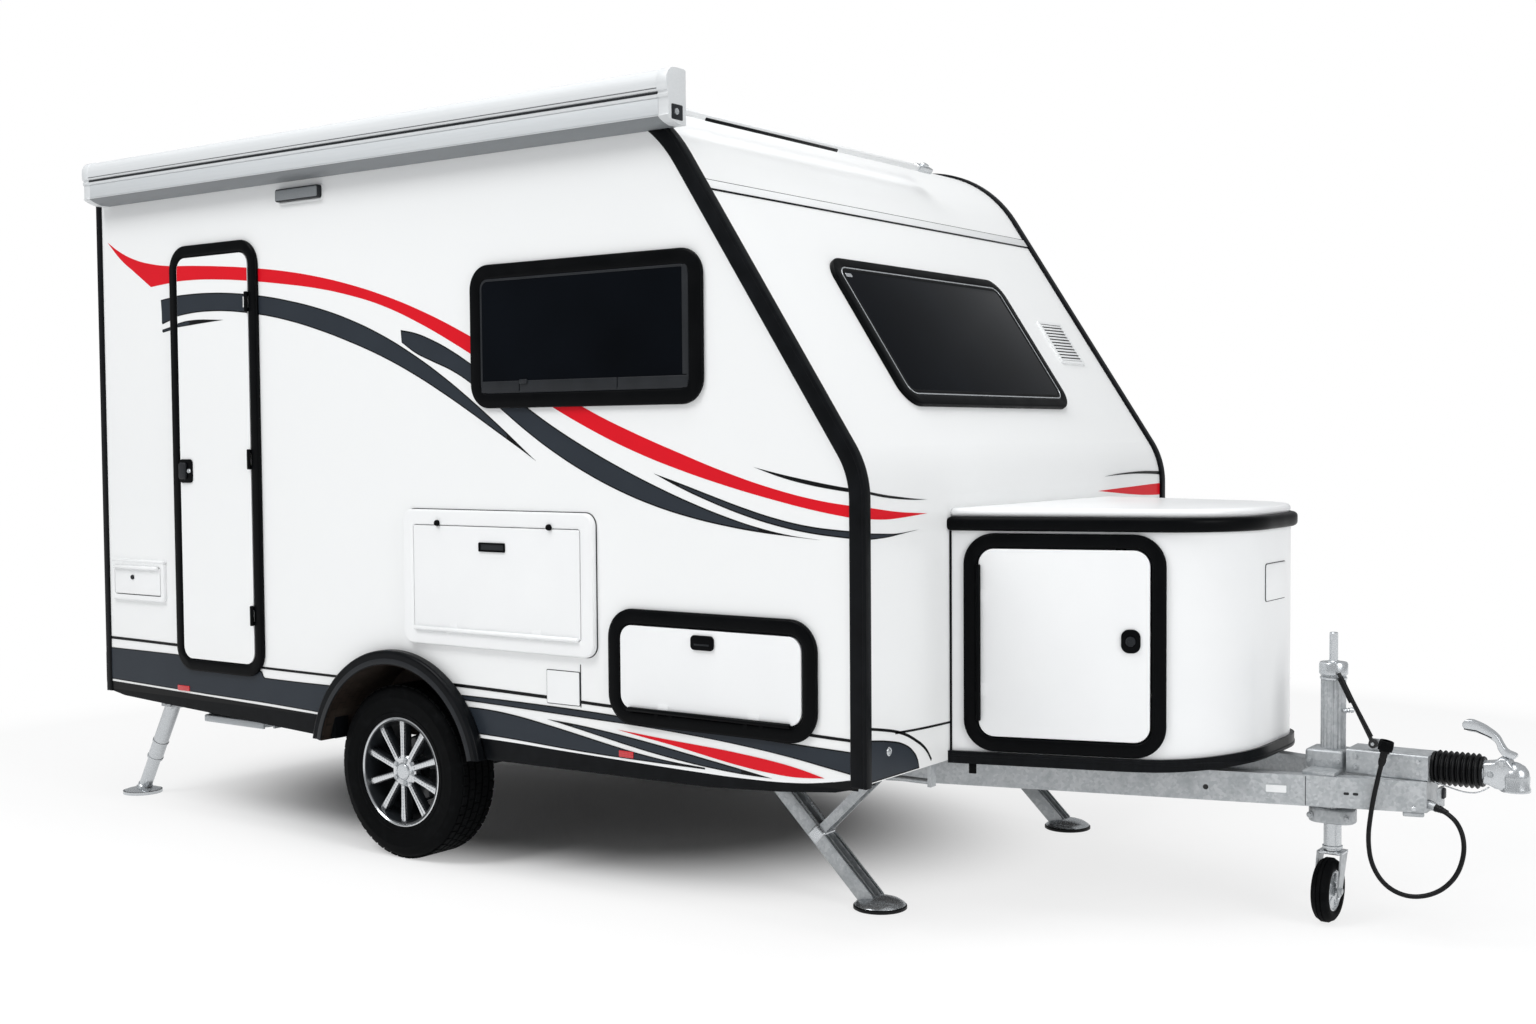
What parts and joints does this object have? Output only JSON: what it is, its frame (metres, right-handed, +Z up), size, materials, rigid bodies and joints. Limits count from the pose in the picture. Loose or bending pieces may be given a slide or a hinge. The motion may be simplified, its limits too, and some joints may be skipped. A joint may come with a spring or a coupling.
{
  "type": "camper trailer",
  "caption": "Small white touring camper trailer with striped sides, front storage box, side door, roll-out awning case, jockey wheel and corner legs down.",
  "frame": {"origin": "on the ground under the middle of the trailer's overall length and width, drawbar and legs included", "axes": "+X forward to the tow coupling, +Y to the trailer's left, +Z up"},
  "size_m": [5.42, 2.316, 2.61],
  "materials": {
    "body_panel": "smooth white laminate",
    "floor_board": "sealed plywood",
    "black_plastic": "satin black moulding",
    "lamp_red": "clear red lens",
    "tinted_acrylic": "dark tinted acrylic",
    "tyre": "rubber",
    "alloy": "machined and lacquered",
    "galvanised_steel": "hot-dip galvanised",
    "handle_grip": "silver grip",
    "black_steel": "black enamel",
    "step_grey": "grey ribbed",
    "rubber": "matt black"
  },
  "bodies": {
    "trailer": {"arch_flares": "black_plastic", "awning_case": "body_panel", "awning_light": "black_plastic", "axle": "galvanised_steel", "bellows": "rubber", "box_door_frames": "black_plastic", "cable": "rubber", "cable_plug": "rubber", "chassis_rails": "galvanised_steel", "coupling_handle": "handle_grip", "coupling_head": "galvanised_steel", "door_frames": "black_plastic", "drawbar": "galvanised_steel", "floor": "floor_board", "front_box": "body_panel", "front_box_lid": "body_panel", "front_box_strip": "black_plastic", "front_wall": "body_panel", "hatch_frames": "body_panel", "jack_column": "galvanised_steel", "overrun_housing": "galvanised_steel", "rear_bumper": "black_plastic", "rear_lamps": "lamp_red", "rear_wall": "body_panel", "roof": "body_panel", "side_wall_left": "body_panel", "side_wall_right": "body_panel", "sills": "black_plastic", "under_brackets": "galvanised_steel", "window_frames": "black_plastic", "window_panes": "tinted_acrylic"},
    "wheel_right": {"tyre_right": "tyre", "rim_right": "alloy"},
    "wheel_left": {"tyre_left": "tyre", "rim_left": "alloy"},
    "jack_stem": {"jack_stem": "galvanised_steel"},
    "caster_fork": {"caster_fork": "galvanised_steel"},
    "caster_wheel": {"caster_wheel": "tyre"},
    "entrance_door": {"entrance_door": "body_panel", "door_handle": "black_plastic"},
    "hatch_flap": {"hatch_flap": "body_panel"},
    "locker_flap_right": {"locker_flap_right": "body_panel"},
    "locker_flap_left": {"locker_flap_left": "body_panel"},
    "service_flap": {"service_flap": "body_panel"},
    "box_door_right": {"box_door_right": "body_panel"},
    "box_door_left": {"box_door_left": "body_panel"},
    "front_leg_right": {"front_leg_right": "galvanised_steel"},
    "front_leg_left": {"front_leg_left": "galvanised_steel"},
    "front_brace_right": {"front_brace_right": "galvanised_steel"},
    "front_brace_left": {"front_brace_left": "galvanised_steel"},
    "rear_leg_right": {"rear_leg_right": "galvanised_steel"},
    "rear_leg_left": {"rear_leg_left": "galvanised_steel"},
    "rear_foot_right": {"rear_foot_right": "galvanised_steel"},
    "rear_foot_left": {"rear_foot_left": "galvanised_steel"},
    "handbrake_lever": {"handbrake_lever": "black_steel"},
    "entry_step": {"entry_step": "step_grey"}
  },
  "joints": [
    {"name": "wheel_right_spin", "type": "hinge", "parent": "trailer", "child": "wheel_right", "pos_m": [-0.83, -0.987, 0.31], "axis": [0, 1, 0], "continuous": true},
    {"name": "wheel_left_spin", "type": "hinge", "parent": "trailer", "child": "wheel_left", "pos_m": [-0.83, 0.987, 0.31], "axis": [0, 1, 0], "continuous": true},
    {"name": "jack_slide", "type": "slide", "parent": "trailer", "child": "jack_stem", "axis": [0, 0, 1], "range_m": [-0.15, 0.04]},
    {"name": "caster_swivel", "type": "hinge", "parent": "jack_stem", "child": "caster_fork", "pos_m": [2.138, 0, 0.212], "axis": [0, 0, 1], "continuous": true},
    {"name": "caster_spin", "type": "hinge", "parent": "caster_fork", "child": "caster_wheel", "pos_m": [2.138, -0.042, 0.098], "axis": [1, 0, 0], "continuous": true},
    {"name": "door_hinge", "type": "hinge", "parent": "trailer", "child": "entrance_door", "pos_m": [-1.585, -1.1095, 1.421], "axis": [0, 0, 1], "range_deg": [0, 100]},
    {"name": "hatch_hinge", "type": "hinge", "parent": "trailer", "child": "hatch_flap", "pos_m": [-0.319, -1.1155, 0.839], "axis": [1, 0, 0], "range_deg": [0, 90]},
    {"name": "locker_right_hinge", "type": "hinge", "parent": "trailer", "child": "locker_flap_right", "pos_m": [0.573, -1.1095, 0.634], "axis": [1, 0, 0], "range_deg": [0, 90]},
    {"name": "locker_left_hinge", "type": "hinge", "parent": "trailer", "child": "locker_flap_left", "pos_m": [0.573, 1.1095, 0.634], "axis": [-1, 0, 0], "range_deg": [0, 90]},
    {"name": "service_hinge", "type": "hinge", "parent": "trailer", "child": "service_flap", "pos_m": [-2.309, -1.1095, 0.986], "axis": [-1, 0, 0], "range_deg": [0, 110]},
    {"name": "box_door_right_hinge", "type": "hinge", "parent": "trailer", "child": "box_door_right", "pos_m": [1.2242, -0.57602, 0.851], "axis": [0, 0, -1], "range_deg": [0, 100]},
    {"name": "box_door_left_hinge", "type": "hinge", "parent": "trailer", "child": "box_door_left", "pos_m": [1.2242, 0.57602, 0.851], "axis": [0, 0, 1], "range_deg": [0, 100]},
    {"name": "front_leg_right_hinge", "type": "hinge", "parent": "trailer", "child": "front_leg_right", "pos_m": [0.49, -0.675, 0.422], "axis": [0, -1, 0], "range_deg": [0, 35]},
    {"name": "front_brace_right_hinge", "type": "hinge", "parent": "front_leg_right", "child": "front_brace_right", "pos_m": [0.70556, -0.675, 0.21336], "axis": [0, 1, 0], "range_deg": [0, 70]},
    {"name": "front_leg_left_hinge", "type": "hinge", "parent": "trailer", "child": "front_leg_left", "pos_m": [0.49, 0.675, 0.422], "axis": [0, -1, 0], "range_deg": [0, 35]},
    {"name": "front_brace_left_hinge", "type": "hinge", "parent": "front_leg_left", "child": "front_brace_left", "pos_m": [0.70556, 0.675, 0.21336], "axis": [0, 1, 0], "range_deg": [0, 70]},
    {"name": "rear_leg_right_hinge", "type": "hinge", "parent": "trailer", "child": "rear_leg_right", "pos_m": [-2.402, -0.874, 0.408], "axis": [0, -1, 0], "range_deg": [0, 105]},
    {"name": "rear_foot_right_slide", "type": "slide", "parent": "rear_leg_right", "child": "rear_foot_right", "axis": [0.4959, 0, 0.8684], "range_m": [0, 0.13]},
    {"name": "rear_leg_left_hinge", "type": "hinge", "parent": "trailer", "child": "rear_leg_left", "pos_m": [-2.402, 0.874, 0.408], "axis": [0, -1, 0], "range_deg": [0, 105]},
    {"name": "rear_foot_left_slide", "type": "slide", "parent": "rear_leg_left", "child": "rear_foot_left", "axis": [0.4959, 0, 0.8684], "range_m": [0, 0.13]},
    {"name": "handbrake_hinge", "type": "hinge", "parent": "trailer", "child": "handbrake_lever", "pos_m": [2.273, -0.05, 0.56], "axis": [0, -1, 0], "range_deg": [0, 38]},
    {"name": "step_slide", "type": "slide", "parent": "trailer", "child": "entry_step", "axis": [0, -1, 0], "range_m": [0, 0.22]}
  ],
  "couplings": [
    {"joint": "front_brace_right_hinge", "follows": "front_leg_right_hinge", "ratio": 2},
    {"joint": "front_brace_left_hinge", "follows": "front_leg_left_hinge", "ratio": 2}
  ]
}
